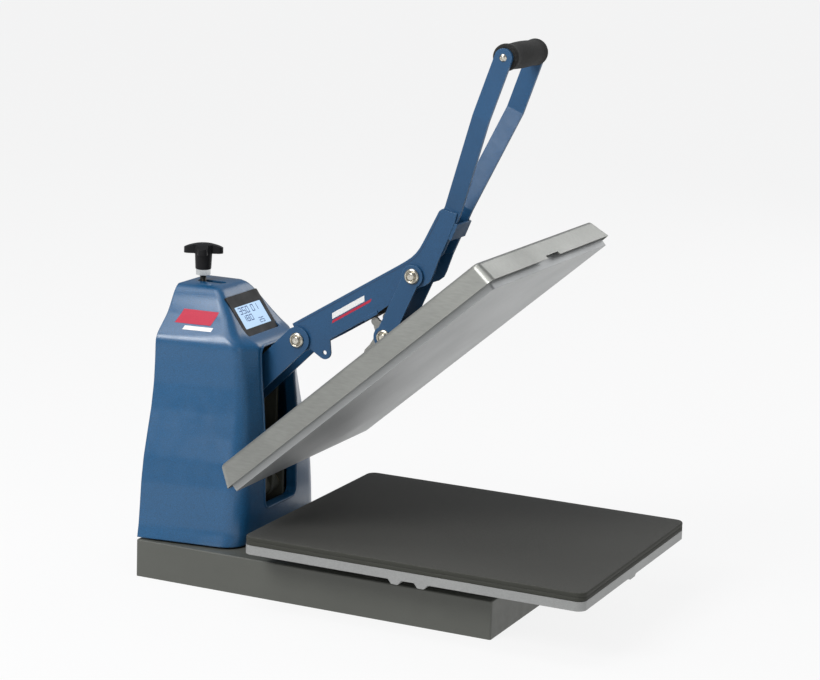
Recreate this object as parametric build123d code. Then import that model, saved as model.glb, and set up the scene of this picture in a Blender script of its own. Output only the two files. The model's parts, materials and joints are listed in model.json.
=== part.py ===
from build123d import *
import math
import os

# Clamshell heat press, millimetres, +Z up.
# Origin: centre of the base's underside. The operator stands at -Y, the column is at +Y.
# The rest pose is the press standing open.

# ---- driving dimensions: base and lower platen ----
BASE_X = 300.0
BASE_Y = 560.0
BASE_TOP = 55.0
BASE_SHEET = 3.0
FLOOR_PLATE = 2.5
STAND_HOLE_X = 240.0
STAND_HOLE_Y = 480.0
STAND_HOLE_R = 5.5

PLATEN_X = 406.4
PLATEN_Y = 508.0
PLATEN_MID_Y = -177.5
PLATEN_BOTTOM = 80.0
PLATEN_THICK = 13.0
PLATEN_CORNER = 13.0
PAD_THICK = 13.0
RIB_DROP = 6.5

# ---- driving dimensions: mechanism (Y, Z of each pivot with the press open) ----
ARM_PIVOT = (162.0, 117.0)
FULCRUM = (90.0, 351.0)
KNEE = (-88.0, 463.5)
TOGGLE = (-47.5, 371.5)
ARM_OPEN = 41.2
GRIP = (-225.5, 780.3)
BRACKET_PIVOT = (190.0, 251.0)
SCREW_Y = 262.0
SCREW_R = 5.0
RUN = 0.05

# ---- driving dimensions: heat platen (drawn closed, then swung open) ----
HEAT_X = 412.9
HEAT_Y = 498.0
HEAT_REAR = 72.5
HEAT_BOTTOM = 106.2
HEAT_THICK = 16.0
COVER_LIP = 115.8
COVER_TOP = 147.6
COVER_SHEET = 1.6
COVER_SIDE = 9.8
COVER_REAR = 6.5
COVER_DRAFT = 8.3
ELEMENT_R = 4.0

# ---- driving dimensions: column ----
COLUMN_REAR = 280.0
COLUMN_WALL = 3.5
COLUMN_FOOT = 58.0
MOUTH_HALF = 48.0
MOUTH_LOW = 100.0
MOUTH_HIGH = 337.0
MOUTH_CORNER = 12.0
LIP_DEPTH = 16.0
FRAME_IN = 38.0
FRAME_OUT = 44.0
FOOT_TOP = 63.0
FRAME_TOP = 378.0

# ---- driving dimensions: lever and toggle widths (half widths along X) ----
LEVER_OUT = 25.0
LEVER_IN = 22.0
LINK_IN = 25.7
LINK_OUT = 29.2
ARM_IN = 8.0
ARM_OUT = 15.0
EAR_IN = 16.0
EAR_OUT = 21.0
BAR_THICK = 5.0
BAR_WIDE = 25.5
GRIP_HALF = 57.0

# ---- driving dimensions: studs, bolts and pins ----
PIN_R = 6.5
PIN_END = LINK_OUT + 5.5
CAP_INNER = LINK_OUT + 0.3
CAP_R = 11.2
CAP_THICK = 3.6
ARM_PIN_R = 8.0
BUSH_R = 10.0
FLANGE_R = 13.0
BRACKET_PIN_R = 6.0
STUD_R = 4.0
STUD_SPOTS = [(x, y) for x in (-38.0, 38.0) for y in (-245.0, -110.0, 20.0)]
STUD_NUT_R = 7.5
STUD_NUT_HIGH = 6.5
FOOT_BOLTS = [(x, y) for x in (-100.0, 100.0) for y in (156.0, 256.0)]
FRAME_TIES = [(258.0, 96.0), (236.0, 312.0), (186.0, 322.0)]
TIE_R = 4.0
ARM_BOLT_R = 4.0
BOLT_HOLE_R = 4.2
SPACER_R = 9.0

# ---- driving dimensions: return springs ----
SPRING_X = 27.0
SPRING_Y = 214.0
SPRING_HOLE_R = 14.0
SPRING_R = 8.0
SPRING_WIRE_R = 1.3
SPRING_FOOT = 9.0
SPRING_TURNS = 15
TAIL_CLOSED = (224.0, 125.0)
TAIL_R = 5.0

# ---- driving dimensions: pressure adjustment ----
NUT_Z = 244.0
TAIL_PIN = (SCREW_Y, NUT_Z)
SCREW_LOW = 214.0
BRIDGE_LOW = 352.0
BRIDGE_HIGH = 372.0
JAM_LOW = 423.5
KNOB_LOW = 432.0
KNOB_TURN = -65.0
KNOB_SOCKET = 16.0

# ---- driving dimensions: display, inlet and switch ----
DISPLAY_MID = (180.0, 375.5)
DISPLAY_SLOPE = 54.4
DISPLAY_X = 94.0
DISPLAY_RUN = 66.0
LCD_X = 77.0
LCD_RUN = 36.0
LCD_SHIFT = -3.0
BOARD_X = 84.0
BOARD_RUN = 50.0
BOARD_DEPTH = -7.4
BOARD_THICK = 1.6
INLET = (82.0, 92.0, 45.0, 25.0)
SWITCH = (82.0, 132.0, 27.0, 20.0)
ROCKER_Y = COLUMN_REAR - 1.0
ROCKER_TILT = 7.0
PANEL_SCREWS = [(-118.0, 78.0), (118.0, 78.0), (-82.0, 330.0), (82.0, 330.0)]
PANEL_FACE = 277.5

# ---- driving dimensions: arm and yoke, closed pose (Y, Z) ----
HEAT_TOP = HEAT_BOTTOM + HEAT_THICK
HEAT_FRONT = HEAT_REAR - HEAT_Y
YOKE_BASE = COVER_TOP + 0.2
YOKE_TOP = YOKE_BASE + 6.0
FLANGE_TOP = YOKE_TOP + 6.0
ARM_ELBOW = (108.0, 161.0)
ARM_NOSE = (-206.0, YOKE_TOP + 12.2)
ARM_BOLT_SPOTS = [(x, y) for x in (-42.0, 42.0) for y in (-200.0, -82.0)]
POST_SPOTS = [(x, y) for x in (-197.0, 197.0) for y in (-412.0, -177.5, 57.0)]
HORN = (-162.6, 197.0)
HORN_R = 6.0

# ---- driving dimensions: lever and handle, open pose (Y, Z) ----
LEVER_TAB_HOLE = (46.9, 337.1)
LEVER_BACK = [(100.0, 373.2), (-66.1, 476.8), (-76.9, 483.9), (-84.4, 489.6), (-90.8, 496.0),
              (-96.6, 504.0), (-101.0, 512.0), (-124.0, 558.8), (-128.3, 562.0)]
LEVER_SHEET = 3.0
WEB_REAR = (60.0, 398.15)
CLIP_SHEET = 2.5
BAR_LINE = [(-119.4, 505.0), (-143.1, 561.2), (-196.5, 697.0), GRIP]
BAR_IN = LEVER_IN - BAR_THICK
GRIP_ROD_R = 6.0

# The column's plan at each height: z, then the half width at the rear, the half width and Y
# of the front corner, and the half width and Y of the nose around the mouth
COLUMN_PLAN = [
    (58.0, 148.0, 128.0, 128.5, 60.0, 124.0),
    (76.0, 144.5, 121.0, 126.5, 58.0, 124.5),
    (105.0, 141.5, 118.0, 126.0, 57.0, 125.0),
    (140.0, 138.5, 115.5, 128.0, 56.0, 126.0),
    (175.0, 132.5, 109.5, 131.0, 55.0, 126.5),
    (210.0, 123.0, 99.5, 136.5, 54.0, 127.5),
    (245.0, 113.0, 91.5, 142.0, 54.0, 130.0),
    (280.0, 106.5, 86.0, 147.5, 54.0, 133.5),
    (315.0, 104.0, 84.0, 154.0, 54.0, 136.0),
    (338.0, 103.5, 83.5, 158.0, 54.0, 137.0),
    (342.5, 103.0, 83.0, 159.0, 54.0, 140.0),
    (346.5, 102.0, 82.0, 160.5, 54.0, 148.0),
    (350.5, 99.5, 80.5, 163.5, 54.0, 158.0),
    (356.0, 94.0, 78.5, 167.0, 53.0, 165.0),
    (364.0, 84.5, 73.5, 172.5, 51.0, 171.0),
    (376.0, 71.0, 65.0, 181.0, 48.0, 179.8),
    (390.0, 61.5, 57.5, 191.0, 43.0, 190.0),
    (402.0, 54.5, 52.0, 200.0, 39.0, 199.0),
    (410.0, 48.5, 47.0, 207.0, 35.0, 206.0),
    (415.0, 40.0, 40.0, 216.0, 30.0, 215.0),
]


def on_yz(sketch, x):
    """Place a sketch drawn as (Y, Z) on the plane X = x."""
    return Plane.YZ.offset(x) * sketch


def slab(sketch, x0, x1):
    """Plate with a (Y, Z) outline between X = x0 and X = x1."""
    return extrude(on_yz(sketch, x0), x1 - x0)


def pair(sketch, x0, x1):
    """The same plate on both sides of X = 0."""
    return slab(sketch, x0, x1) + slab(sketch, -x1, -x0)


def dot(centre, r):
    return Pos(*centre) * Circle(r)


def outline(*points):
    return make_face(Polyline(*points, close=True))


def strap(a, ra, b, rb):
    """Plate outline that wraps two circles with straight tangents."""
    span = math.dist(a, b)
    heading = math.atan2(b[1] - a[1], b[0] - a[0])
    lean = math.acos((ra - rb) / span)
    corners = []
    for centre, r, side in ((a, ra, 1), (b, rb, 1), (b, rb, -1), (a, ra, -1)):
        angle = heading + side * lean
        corners.append((centre[0] + r * math.cos(angle), centre[1] + r * math.sin(angle)))
    return outline(*corners) + dot(a, ra) + dot(b, rb)


def rod_x(centre, r, x0, x1):
    """Round bar along X through (Y, Z) = centre."""
    return slab(dot(centre, r), x0, x1)


def rod_z(x, y, r, z0, z1):
    return Pos(x, y, z0) * extrude(Circle(r), z1 - z0)


def box(x0, x1, y0, y1, z0, z1):
    size = (x1 - x0, y1 - y0, z1 - z0)
    return Pos((x0 + x1) / 2, (y0 + y1) / 2, (z0 + z1) / 2) * Box(*size)


def rounded_box(x, y0, y1, z0, z1, corner):
    """Plate centred on X = 0 with rounded vertical corners."""
    face = RectangleRounded(x, y1 - y0, corner)
    return Pos(0, (y0 + y1) / 2, z0) * extrude(face, z1 - z0)


def group(*solids):
    """Separate solids that share one node."""
    return Compound(children=[s for item in solids for s in item.solids()])


def swing_open(shape):
    """Turn a piece drawn with the press closed about the arm pivot to the open pose."""
    to_pivot = Pos(0, *ARM_PIVOT)
    return to_pivot * Rot(-ARM_OPEN, 0, 0) * to_pivot.inverse() * shape


def turned(point, degrees):
    """(Y, Z) of a point turned about the arm pivot."""
    c, sn = math.cos(math.radians(degrees)), math.sin(math.radians(degrees))
    y, z = point[0] - ARM_PIVOT[0], point[1] - ARM_PIVOT[1]
    return (ARM_PIVOT[0] + y * c - z * sn, ARM_PIVOT[1] + y * sn + z * c)


def closed(point):
    """(Y, Z) of an open-pose point of the upper platen when the press is closed."""
    return turned(point, ARM_OPEN)


def open_point(point):
    """(Y, Z) of a closed-pose point of the upper platen when the press is open."""
    return turned(point, -ARM_OPEN)


# ---- base ----
def base_tray():
    tray = box(-BASE_X / 2, BASE_X / 2, -BASE_Y / 2, BASE_Y / 2, 0, BASE_TOP)
    tray = fillet(tray.edges().filter_by(Axis.Z), 3.0)
    tray = fillet(tray.faces().sort_by(Axis.Z)[-1].edges(), 2.0)
    inner_x = BASE_X / 2 - BASE_SHEET
    inner_y = BASE_Y / 2 - BASE_SHEET
    tray -= box(-inner_x, inner_x, -inner_y, inner_y, -1, BASE_TOP - BASE_SHEET)
    for x in (-SPRING_X, SPRING_X):
        tray -= rod_z(x, SPRING_Y, SPRING_HOLE_R, BASE_TOP - 2 * BASE_SHEET, BASE_TOP + 1)
    return tray - stud_holes(BASE_TOP - 2 * BASE_SHEET, BASE_TOP + 1)


def base_plate():
    inner_x = BASE_X / 2 - BASE_SHEET
    inner_y = BASE_Y / 2 - BASE_SHEET
    plate = box(-inner_x, inner_x, -inner_y, inner_y, 0, FLOOR_PLATE)
    for x in (-STAND_HOLE_X / 2, STAND_HOLE_X / 2):
        for y in (-STAND_HOLE_Y / 2, STAND_HOLE_Y / 2):
            plate -= rod_z(x, y, STAND_HOLE_R, -1, FLOOR_PLATE + 1)
    return plate


def stud_holes(z0, z1):
    return Compound(children=[rod_z(x, y, STUD_R + 0.1, z0, z1) for x, y in STUD_SPOTS])


def platen_supports():
    """Two cast risers, one before and one behind the platen's cross ribs."""
    front = rounded_box(112, -268, -222, BASE_TOP, PLATEN_BOTTOM, 8)
    rear = rounded_box(112, -132, 48, BASE_TOP, PLATEN_BOTTOM, 8)
    holes = stud_holes(BASE_TOP - 1, PLATEN_BOTTOM + 1)
    return group(front - holes, rear - holes)


def platen_studs():
    """Studs with nuts under the base top, up into the lower platen."""
    z_nut = BASE_TOP - BASE_SHEET - STUD_NUT_HIGH
    studs = []
    for x, y in STUD_SPOTS:
        nut = Pos(x, y, z_nut) * extrude(RegularPolygon(STUD_NUT_R, 6), STUD_NUT_HIGH)
        studs.append(nut + rod_z(x, y, STUD_R, z_nut, PLATEN_BOTTOM + 8))
    return group(*studs)


def cross_rib(y):
    """Rounded rib under the platen, running along X."""
    half, r = 10.0, 5.0
    z = PLATEN_BOTTOM
    profile = outline((y - half, z), (y + half, z), (y + r, z - RIB_DROP), (y - r, z - RIB_DROP))
    profile = fillet(profile.vertices().sort_by(Axis.Y)[:2], 3.0)
    return slab(profile, -PLATEN_X / 2, PLATEN_X / 2)


def lower_platen():
    y0 = PLATEN_MID_Y - PLATEN_Y / 2
    y1 = PLATEN_MID_Y + PLATEN_Y / 2
    z1 = PLATEN_BOTTOM + PLATEN_THICK
    plate = rounded_box(PLATEN_X, y0, y1, PLATEN_BOTTOM, z1, PLATEN_CORNER)
    for offset in (-19.5, 19.5):
        plate += cross_rib(PLATEN_MID_Y + offset)
    rib = Plane.XZ.offset(-y0 - 4) * outline((-21, 80), (15, 80), (6, 73), (-12, 73))
    plate += extrude(rib, -110)
    for x, y in STUD_SPOTS:
        plate -= rod_z(x, y, STUD_R, PLATEN_BOTTOM - 1, PLATEN_BOTTOM + 8)
    return plate


def platen_pad():
    y0 = PLATEN_MID_Y - PLATEN_Y / 2
    z0 = PLATEN_BOTTOM + PLATEN_THICK
    return rounded_box(PLATEN_X, y0, y0 + PLATEN_Y, z0, z0 + PAD_THICK, PLATEN_CORNER)


# ---- column ----


def column_section(plan, inset, drop, y_rear):
    z, rear, corner, y_corner, nose, y_nose = plan
    half_rear, half_corner, half_nose = rear - inset, corner - inset, nose - inset / 2
    face = outline((-half_rear, y_rear), (-half_corner, y_corner + inset), (-half_nose, y_nose + inset),
                   (half_nose, y_nose + inset), (half_corner, y_corner + inset), (half_rear, y_rear))
    round_r = max(6.0, 0.2 * corner - inset)
    sides = face.vertices().sort_by(lambda v: abs(abs(v.X) - half_corner))[:2]
    return Pos(0, 0, z - drop) * fillet(sides, round_r)


def column_form(inset, drop, y_rear):
    """Solid with the column's outer form, drawn in by inset and lowered by drop."""
    return loft([column_section(plan, inset, drop, y_rear) for plan in COLUMN_PLAN], ruled=True)


def mouth_prism(grow):
    half = MOUTH_HALF + grow
    low, high = MOUTH_LOW - grow, MOUTH_HIGH + grow
    face = RectangleRounded(2 * half, high - low, MOUTH_CORNER + grow)
    return extrude(Plane.XZ.offset(-90) * Pos(0, (low + high) / 2) * face, -120)


def display_plane(offset):
    """Plane of the sloping display face: its x is +X and its y runs up the slope."""
    tilt = math.radians(DISPLAY_SLOPE)
    normal = (0, -math.sin(tilt), math.cos(tilt))
    plane = Plane(origin=(0, *DISPLAY_MID), x_dir=(1, 0, 0), z_dir=normal)
    return plane.offset(offset)


def display_block(width, run, shift, low, high):
    face = Pos(0, shift) * RectangleRounded(width, run, 1.5)
    return extrude(display_plane(low) * face, high - low)


def column_cover():
    form = column_form(0, 0, COLUMN_REAR)
    shell = form - column_form(COLUMN_WALL, 3.0, COLUMN_REAR + 6)
    behind_face = Pos(0, LIP_DEPTH, 0) * column_form(0, 0, COLUMN_REAR)
    collar = (form & mouth_prism(COLUMN_WALL)) - behind_face
    cover = (shell + collar) - mouth_prism(0)
    slot = Pos(0, (SCREW_Y + 232) / 2, 400) * extrude(SlotOverall(46, 15, rotation=90), 20)
    cover -= slot
    return cover - display_block(DISPLAY_X, DISPLAY_RUN, 0, -8, 6)


def rear_panel():
    """Removable back of the column, with vents, inlet and switch cut-outs."""
    inner = column_form(COLUMN_WALL + 1.0, 4.0, COLUMN_REAR)
    panel = inner & box(-BASE_X / 2, BASE_X / 2, PANEL_FACE, COLUMN_REAR, COLUMN_FOOT + 2, 412)
    for row in range(7):
        z = 205 + 11 * row
        for x in (-30, 30):
            vent = Pos(x, z) * SlotOverall(44, 4.5)
            panel -= extrude(Plane.XZ.offset(-270) * vent, -20)
    for x, z, w, h in (INLET, SWITCH):
        panel -= box(x - w / 2, x + w / 2, 270, 290, z - h / 2, z + h / 2)
    for x, z in PANEL_SCREWS:
        hole = Pos(x, z) * Circle(2.1)
        panel -= extrude(Plane.XZ.offset(-270) * hole, -20)
    return panel


def panel_screws():
    screws = []
    for x, z in PANEL_SCREWS:
        shank = extrude(Plane.XZ.offset(-265) * Pos(x, z) * Circle(2.0), -15)
        head = extrude(Plane.XZ.offset(-280) * Pos(x, z) * Circle(4.2), -2.2)
        slot = box(x - 5, x + 5, 281.3, 283, z - 0.6, z + 0.6)
        screws.append(shank + (head - slot))
    return group(*screws)


def power_inlet():
    x, z, w, h = INLET
    flange = box(x - w / 2 - 4, x + w / 2 + 4, 280, 282.5, z - h / 2 - 3, z + h / 2 + 3)
    body = box(x - w / 2, x + w / 2, 254, 280, z - h / 2, z + h / 2)
    socket = box(x - 12, x + 12, 262, 290, z - 8.5, z + 8.5)
    blades = [box(x + dx - 3, x + dx + 3, 261, 278, z - 1.5, z + 1.5) for dx in (-7, 7)]
    inlet = (flange + body) - socket
    for blade in blades:
        inlet += blade
    return inlet


def switch_housing():
    x, z, w, h = SWITCH
    flange = box(x - w / 2 - 2, x + w / 2 + 2, 280, 281.5, z - h / 2 - 2, z + h / 2 + 2)
    body = box(x - w / 2, x + w / 2, 262, 280, z - h / 2, z + h / 2)
    well = box(x - w / 2 + 2, x + w / 2 - 2, 266, 290, z - h / 2 + 2, z + h / 2 - 2)
    pivot = rod_x((ROCKER_Y, z), 1.5, x - w / 2, x + w / 2)
    return (flange + body) - well + pivot


def rocker_button():
    """Rocker that turns on the housing's cross pin, tipped to off at rest."""
    x, z, w, h = SWITCH
    half_h = h / 2 - 2.8
    back, crest, dip = ROCKER_Y - 4, ROCKER_Y + 4.2, ROCKER_Y + 2.8
    low, high = z - half_h, z + half_h
    wedge = outline((back, low), (crest, low), (dip, z), (crest, high), (back, high))
    rocker = slab(wedge, x - w / 2 + 2.5, x + w / 2 - 2.5)
    rocker -= rod_x((ROCKER_Y, z), 1.5 + RUN, x - w, x + w)
    spot = Pos(0, ROCKER_Y, z)
    return spot * Rot(ROCKER_TILT, 0, 0) * spot.inverse() * rocker


def foot_plate():
    plate = rounded_box(236, 138, 272, COLUMN_FOOT - 3, FOOT_TOP, 10)
    for x in (-SPRING_X, SPRING_X):
        plate -= rod_z(x, SPRING_Y, SPRING_HOLE_R, 50, 70)
    for x, y in FOOT_BOLTS:
        plate -= rod_z(x, y, 4.1, 50, 70)
    return plate


def foot_bolts():
    bolts = []
    for x, y in FOOT_BOLTS:
        head = Pos(x, y, FOOT_TOP) * extrude(RegularPolygon(7.5, 6), 5.5)
        bolts.append(head + rod_z(x, y, 4.0, BASE_TOP, FOOT_TOP))
    return group(*bolts)


def frame_outline():
    face = outline((143, FOOT_TOP), (143, 146), (156, 172), (156, 296), (206, FRAME_TOP),
                   (274, FRAME_TOP), (274, FOOT_TOP))
    face -= dot(ARM_PIVOT, BUSH_R) + dot(BRACKET_PIVOT, BRACKET_PIN_R)
    for centre in FRAME_TIES:
        face -= dot(centre, TIE_R)
    return face


def frame_plate(side):
    x0, x1 = (FRAME_IN, FRAME_OUT) if side > 0 else (-FRAME_OUT, -FRAME_IN)
    plate = slab(frame_outline(), x0, x1)
    flange_x = (FRAME_OUT, FRAME_OUT + 30) if side > 0 else (-FRAME_OUT - 30, -FRAME_OUT)
    return plate + box(*flange_x, 146, 262, FOOT_TOP, FOOT_TOP + 5)


def frame_ties():
    """Spacer tubes between the frame plates, each with its through bolt and two heads."""
    ties = []
    for centre in FRAME_TIES:
        tube = rod_x(centre, 2 * TIE_R, -FRAME_IN, FRAME_IN)
        bolt = rod_x(centre, TIE_R, -FRAME_OUT, FRAME_OUT)
        heads = pair(dot(centre, 7.0), FRAME_OUT, FRAME_OUT + 5)
        ties.append(tube + bolt + heads)
    return group(*ties)


def arm_pin():
    pin = rod_x(ARM_PIVOT, ARM_PIN_R, -FRAME_OUT - 4, FRAME_OUT + 4)
    return pin + pair(dot(ARM_PIVOT, FLANGE_R), FRAME_OUT + 1, FRAME_OUT + 4)


def arm_bushings():
    """Flanged bronze bushes pressed into the frame plates."""
    bore = dot(ARM_PIVOT, ARM_PIN_R)
    rings = pair(dot(ARM_PIVOT, BUSH_R) - bore, FRAME_IN, FRAME_OUT)
    flanges = pair(dot(ARM_PIVOT, FLANGE_R) - bore, FRAME_IN - 1.5, FRAME_IN)
    return group(rings + flanges)


# ---- pressure adjustment ----


def fulcrum_bracket():
    """Folded channel that carries the lever: its tail is held by the pressure screw's nut."""
    cheek = strap(FULCRUM, 19.3, BRACKET_PIVOT, 19.3) + strap(BRACKET_PIVOT, 19.3, TAIL_PIN, 13.0)
    slot = Pos(*TAIL_PIN) * SlotOverall(17.0, 10.4, rotation=90)
    cheek = cheek - dot(FULCRUM, PIN_R) - dot(BRACKET_PIVOT, BRACKET_PIN_R) - slot
    cheeks = pair(cheek, LINK_IN, LINK_OUT)
    web = Pos(*BRACKET_PIVOT) * Rot(0, 0, 135) * Pos(14, -17.5) * Rectangle(40, 3.5)
    return cheeks + slab(web, -LINK_IN, LINK_IN)


def bracket_pin():
    """Pin across the frame with spacer collars inside and retaining collars outside."""
    pin = rod_x(BRACKET_PIVOT, BRACKET_PIN_R, -FRAME_OUT - 5, FRAME_OUT + 5)
    collar = dot(BRACKET_PIVOT, 11.0)
    return pin + pair(collar, LINK_OUT, FRAME_IN) + pair(collar, FRAME_OUT, FRAME_OUT + 3)


def fulcrum_studs():
    """The fulcrum is left open, so each bracket cheek keeps its own half of the pin."""
    return group(pair(dot(FULCRUM, PIN_R), LINK_IN, PIN_END))


def cap_pair(centre):
    """Push-on caps at both ends of a pivot pin."""
    caps = []
    for side in (-1, 1):
        disc = Cylinder(CAP_R, CAP_THICK) - Cylinder(PIN_R, 2 * CAP_THICK)
        disc = fillet(disc.faces().sort_by(Axis.Z)[-1].outer_wire().edges(), 1.6)
        caps.append(Pos(side * (CAP_INNER + CAP_THICK / 2), *centre) * Rot(0, side * 90, 0) * disc)
    return group(*caps)


def screw_bridge():
    """Bar across the frame that takes the pressure screw's thrust."""
    bar = box(-FRAME_IN, FRAME_IN, 249, 274, BRIDGE_LOW, BRIDGE_HIGH)
    bar -= rod_z(0, SCREW_Y, SCREW_R + RUN, BRIDGE_LOW - 1, BRIDGE_HIGH + 1)
    return bar


def pressure_screw():
    return rod_z(0, SCREW_Y, SCREW_R, SCREW_LOW, KNOB_LOW + KNOB_SOCKET)


def thrust_collars():
    ring = Circle(SPACER_R) - Circle(SCREW_R)
    spots = (BRIDGE_LOW - 8.2, BRIDGE_HIGH + 0.2)
    return group(*[Pos(0, SCREW_Y, z) * extrude(ring, 8.0) for z in spots])


def jam_nut():
    nut = extrude(RegularPolygon(10.6, 6) - Circle(SCREW_R), KNOB_LOW - JAM_LOW)
    return Pos(0, SCREW_Y, JAM_LOW) * nut


def pressure_knob():
    """Four-lobed knob on a tapered hub, with a domed crown."""
    hub = Cone(11.6, 12.8, 26, align=(Align.CENTER, Align.CENTER, Align.MIN))
    lobes = SlotOverall(57.5, 15.0) + SlotOverall(57.5, 15.0, rotation=90) + Circle(15.5)
    head = Rot(0, 0, KNOB_TURN) * Pos(0, 0, 24.0) * extrude(lobes, 16)
    dome = Pos(0, 0, -30.5) * Sphere(69.0)
    knob = hub + (head & dome)
    knob = fillet(knob.edges().group_by(Axis.Z)[0], 1.5)
    return Pos(0, SCREW_Y, KNOB_LOW) * (knob - rod_z(0, 0, SCREW_R, -1, KNOB_SOCKET))


def trunnion_nut():
    block = box(-15, 15, SCREW_Y - 12, SCREW_Y + 10, NUT_Z - 8, NUT_Z + 8)
    block += rod_x(TAIL_PIN, 5.0, -LINK_OUT - 3, LINK_OUT + 3)
    return block - rod_z(0, SCREW_Y, SCREW_R + RUN, NUT_Z - 10, NUT_Z + 10)


# ---- display and electrics ----


def display_bezel():
    bezel = display_block(DISPLAY_X - 0.2, DISPLAY_RUN - 0.2, 0, -3.0, 0.9)
    return bezel - display_block(LCD_X, LCD_RUN, LCD_SHIFT, -1.2, 4)


def display_lcd():
    return display_block(LCD_X - 0.2, LCD_RUN - 0.2, LCD_SHIFT, -1.2, 0.3)


def control_board():
    """Board behind the display, with its processor and four posts up to the bezel."""
    board = display_block(BOARD_X, BOARD_RUN, 0, BOARD_DEPTH - BOARD_THICK, BOARD_DEPTH)
    for x in (-38, 38):
        for y in (-20, 20):
            board += display_plane(BOARD_DEPTH) * Pos(x, y) * extrude(Circle(2.5), 4.4)
    return board + display_block(20, 20, 6, BOARD_DEPTH, BOARD_DEPTH + 2)


def power_relay():
    body = box(78, 118, 178, 236, FOOT_TOP, FOOT_TOP + 26)
    for y in (188, 226):
        for x in (88, 108):
            body += rod_z(x, y, 4, FOOT_TOP + 26, FOOT_TOP + 30)
    return body


def return_springs():
    """Two extension springs that pull the arm's tail down and lift the heat platen."""
    tail_z = open_point(TAIL_CLOSED)[1]
    height = tail_z - TAIL_R - SPRING_WIRE_R - 1.0 - SPRING_FOOT
    coil = Helix(pitch=height / SPRING_TURNS, height=height, radius=SPRING_R)
    start = Plane(origin=coil @ 0, z_dir=coil % 0)
    wire = sweep(start * Circle(SPRING_WIRE_R), path=coil)
    return group(*[Pos(x, SPRING_Y, SPRING_FOOT) * wire for x in (-SPRING_X, SPRING_X)])


def spring_anchor():
    """Bar on the base plate that the springs' lower ends hook to."""
    return box(-40, 40, 200, 228, FLOOR_PLATE, FLOOR_PLATE + 4)


# ---- upper platen, drawn closed ----


def element_path():
    """Serpentine of the tubular heater, with both ends at the rear."""
    reach, step, rows = 172.0, 54.0, 8
    y = HEAT_FRONT + 46
    points = [(-186.0, HEAT_REAR - 20), (-186.0, y)]
    x = reach
    for row in range(rows):
        points += [(x, y), (x, y + step)] if row < rows - 1 else [(x, y)]
        y += step
        x = -reach + 14 if x > 0 else reach
    y -= step
    points[-1] = (points[-1][0], y)
    return FilletPolyline(*[(px, py, HEAT_TOP) for px, py in points], radius=13)


def element_solid(r):
    path = element_path()
    return sweep(Plane(origin=path @ 0, z_dir=path % 0) * Circle(r), path=path)


def through_arm(z0, z1, r):
    return Compound(children=[rod_z(x, y, r, z0, z1) for x, y in ARM_BOLT_SPOTS])


def heat_plate():
    plate = rounded_box(HEAT_X, HEAT_FRONT, HEAT_REAR, HEAT_BOTTOM, HEAT_TOP, 4)
    plate -= element_solid(ELEMENT_R)
    return plate - through_arm(HEAT_BOTTOM + 6, HEAT_TOP + 1, ARM_BOLT_R)


def insulation_blanket():
    z0 = HEAT_TOP + ELEMENT_R + 0.5
    blanket = rounded_box(372, HEAT_FRONT + 14, HEAT_REAR - 14, z0, z0 + 15, 8)
    return blanket - through_arm(z0 - 1, z0 + 16, 9.2)


def cover_form(inset):
    """Drafted pan with a rounded top edge."""
    x = HEAT_X + 2 * (COVER_SIDE - inset)
    y0 = HEAT_FRONT - COVER_SIDE + inset
    y1 = HEAT_REAR + COVER_REAR - inset
    mid, run = (y0 + y1) / 2, y1 - y0
    low = Pos(0, mid, COVER_LIP) * RectangleRounded(x, run, 10 - inset)
    high = Pos(0, mid, COVER_TOP - inset) * RectangleRounded(
        x - 2 * COVER_DRAFT, run - 2 * COVER_DRAFT, 9 - inset)
    form = loft([low, high])
    return fillet(form.faces().sort_by(Axis.Z)[-1].edges(), 6.0 - inset)


def platen_cover():
    pan = cover_form(0) - cover_form(COVER_SHEET)
    pan -= through_arm(COVER_TOP - 10, COVER_TOP + 5, BOLT_HOLE_R)
    notch = box(-22, 22, HEAT_FRONT - 12, HEAT_FRONT - 5, COVER_LIP - 1, COVER_LIP + 5)
    return pan - notch


def cover_posts():
    """Posts that hold the cover off the heat plate."""
    return group(*[rod_z(x, y, 5.0, HEAT_TOP, COVER_TOP - COVER_SHEET) for x, y in POST_SPOTS])


def arm_spacers():
    ring = Circle(SPACER_R) - Circle(BOLT_HOLE_R)
    height = COVER_TOP - COVER_SHEET - HEAT_TOP
    return group(*[Pos(x, y, HEAT_TOP) * extrude(ring, height) for x, y in ARM_BOLT_SPOTS])


def arm_bolts():
    bolts = []
    for x, y in ARM_BOLT_SPOTS:
        head = Pos(x, y, FLANGE_TOP) * extrude(RegularPolygon(7.0, 6), 5.0)
        bolts.append(head + rod_z(x, y, ARM_BOLT_R, HEAT_BOTTOM + 6, FLANGE_TOP))
    return group(*bolts)


def toggle_yoke():
    """Cast foot with two ears for the link pin and a horn that the lever rests on."""
    foot = rounded_box(112, -216, -62, YOKE_BASE, YOKE_TOP, 10)
    y, z = closed(TOGGLE)
    ear = outline((-100, YOKE_TOP), (-112, 168), (-124, 175), (-134, 176), (-144, 179), (-154, 187),
                  (-157, 194), HORN, (-168.4, 195.5), (y - 13, z + 5), (y - 13, z - 5), (-172, YOKE_TOP))
    ear = ear + dot((y, z), 13.0) + dot(HORN, HORN_R) - dot((y, z), PIN_R)
    yoke = foot + pair(ear, EAR_IN, EAR_OUT)
    return yoke - through_arm(YOKE_BASE - 1, YOKE_TOP + 1, BOLT_HOLE_R)


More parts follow.
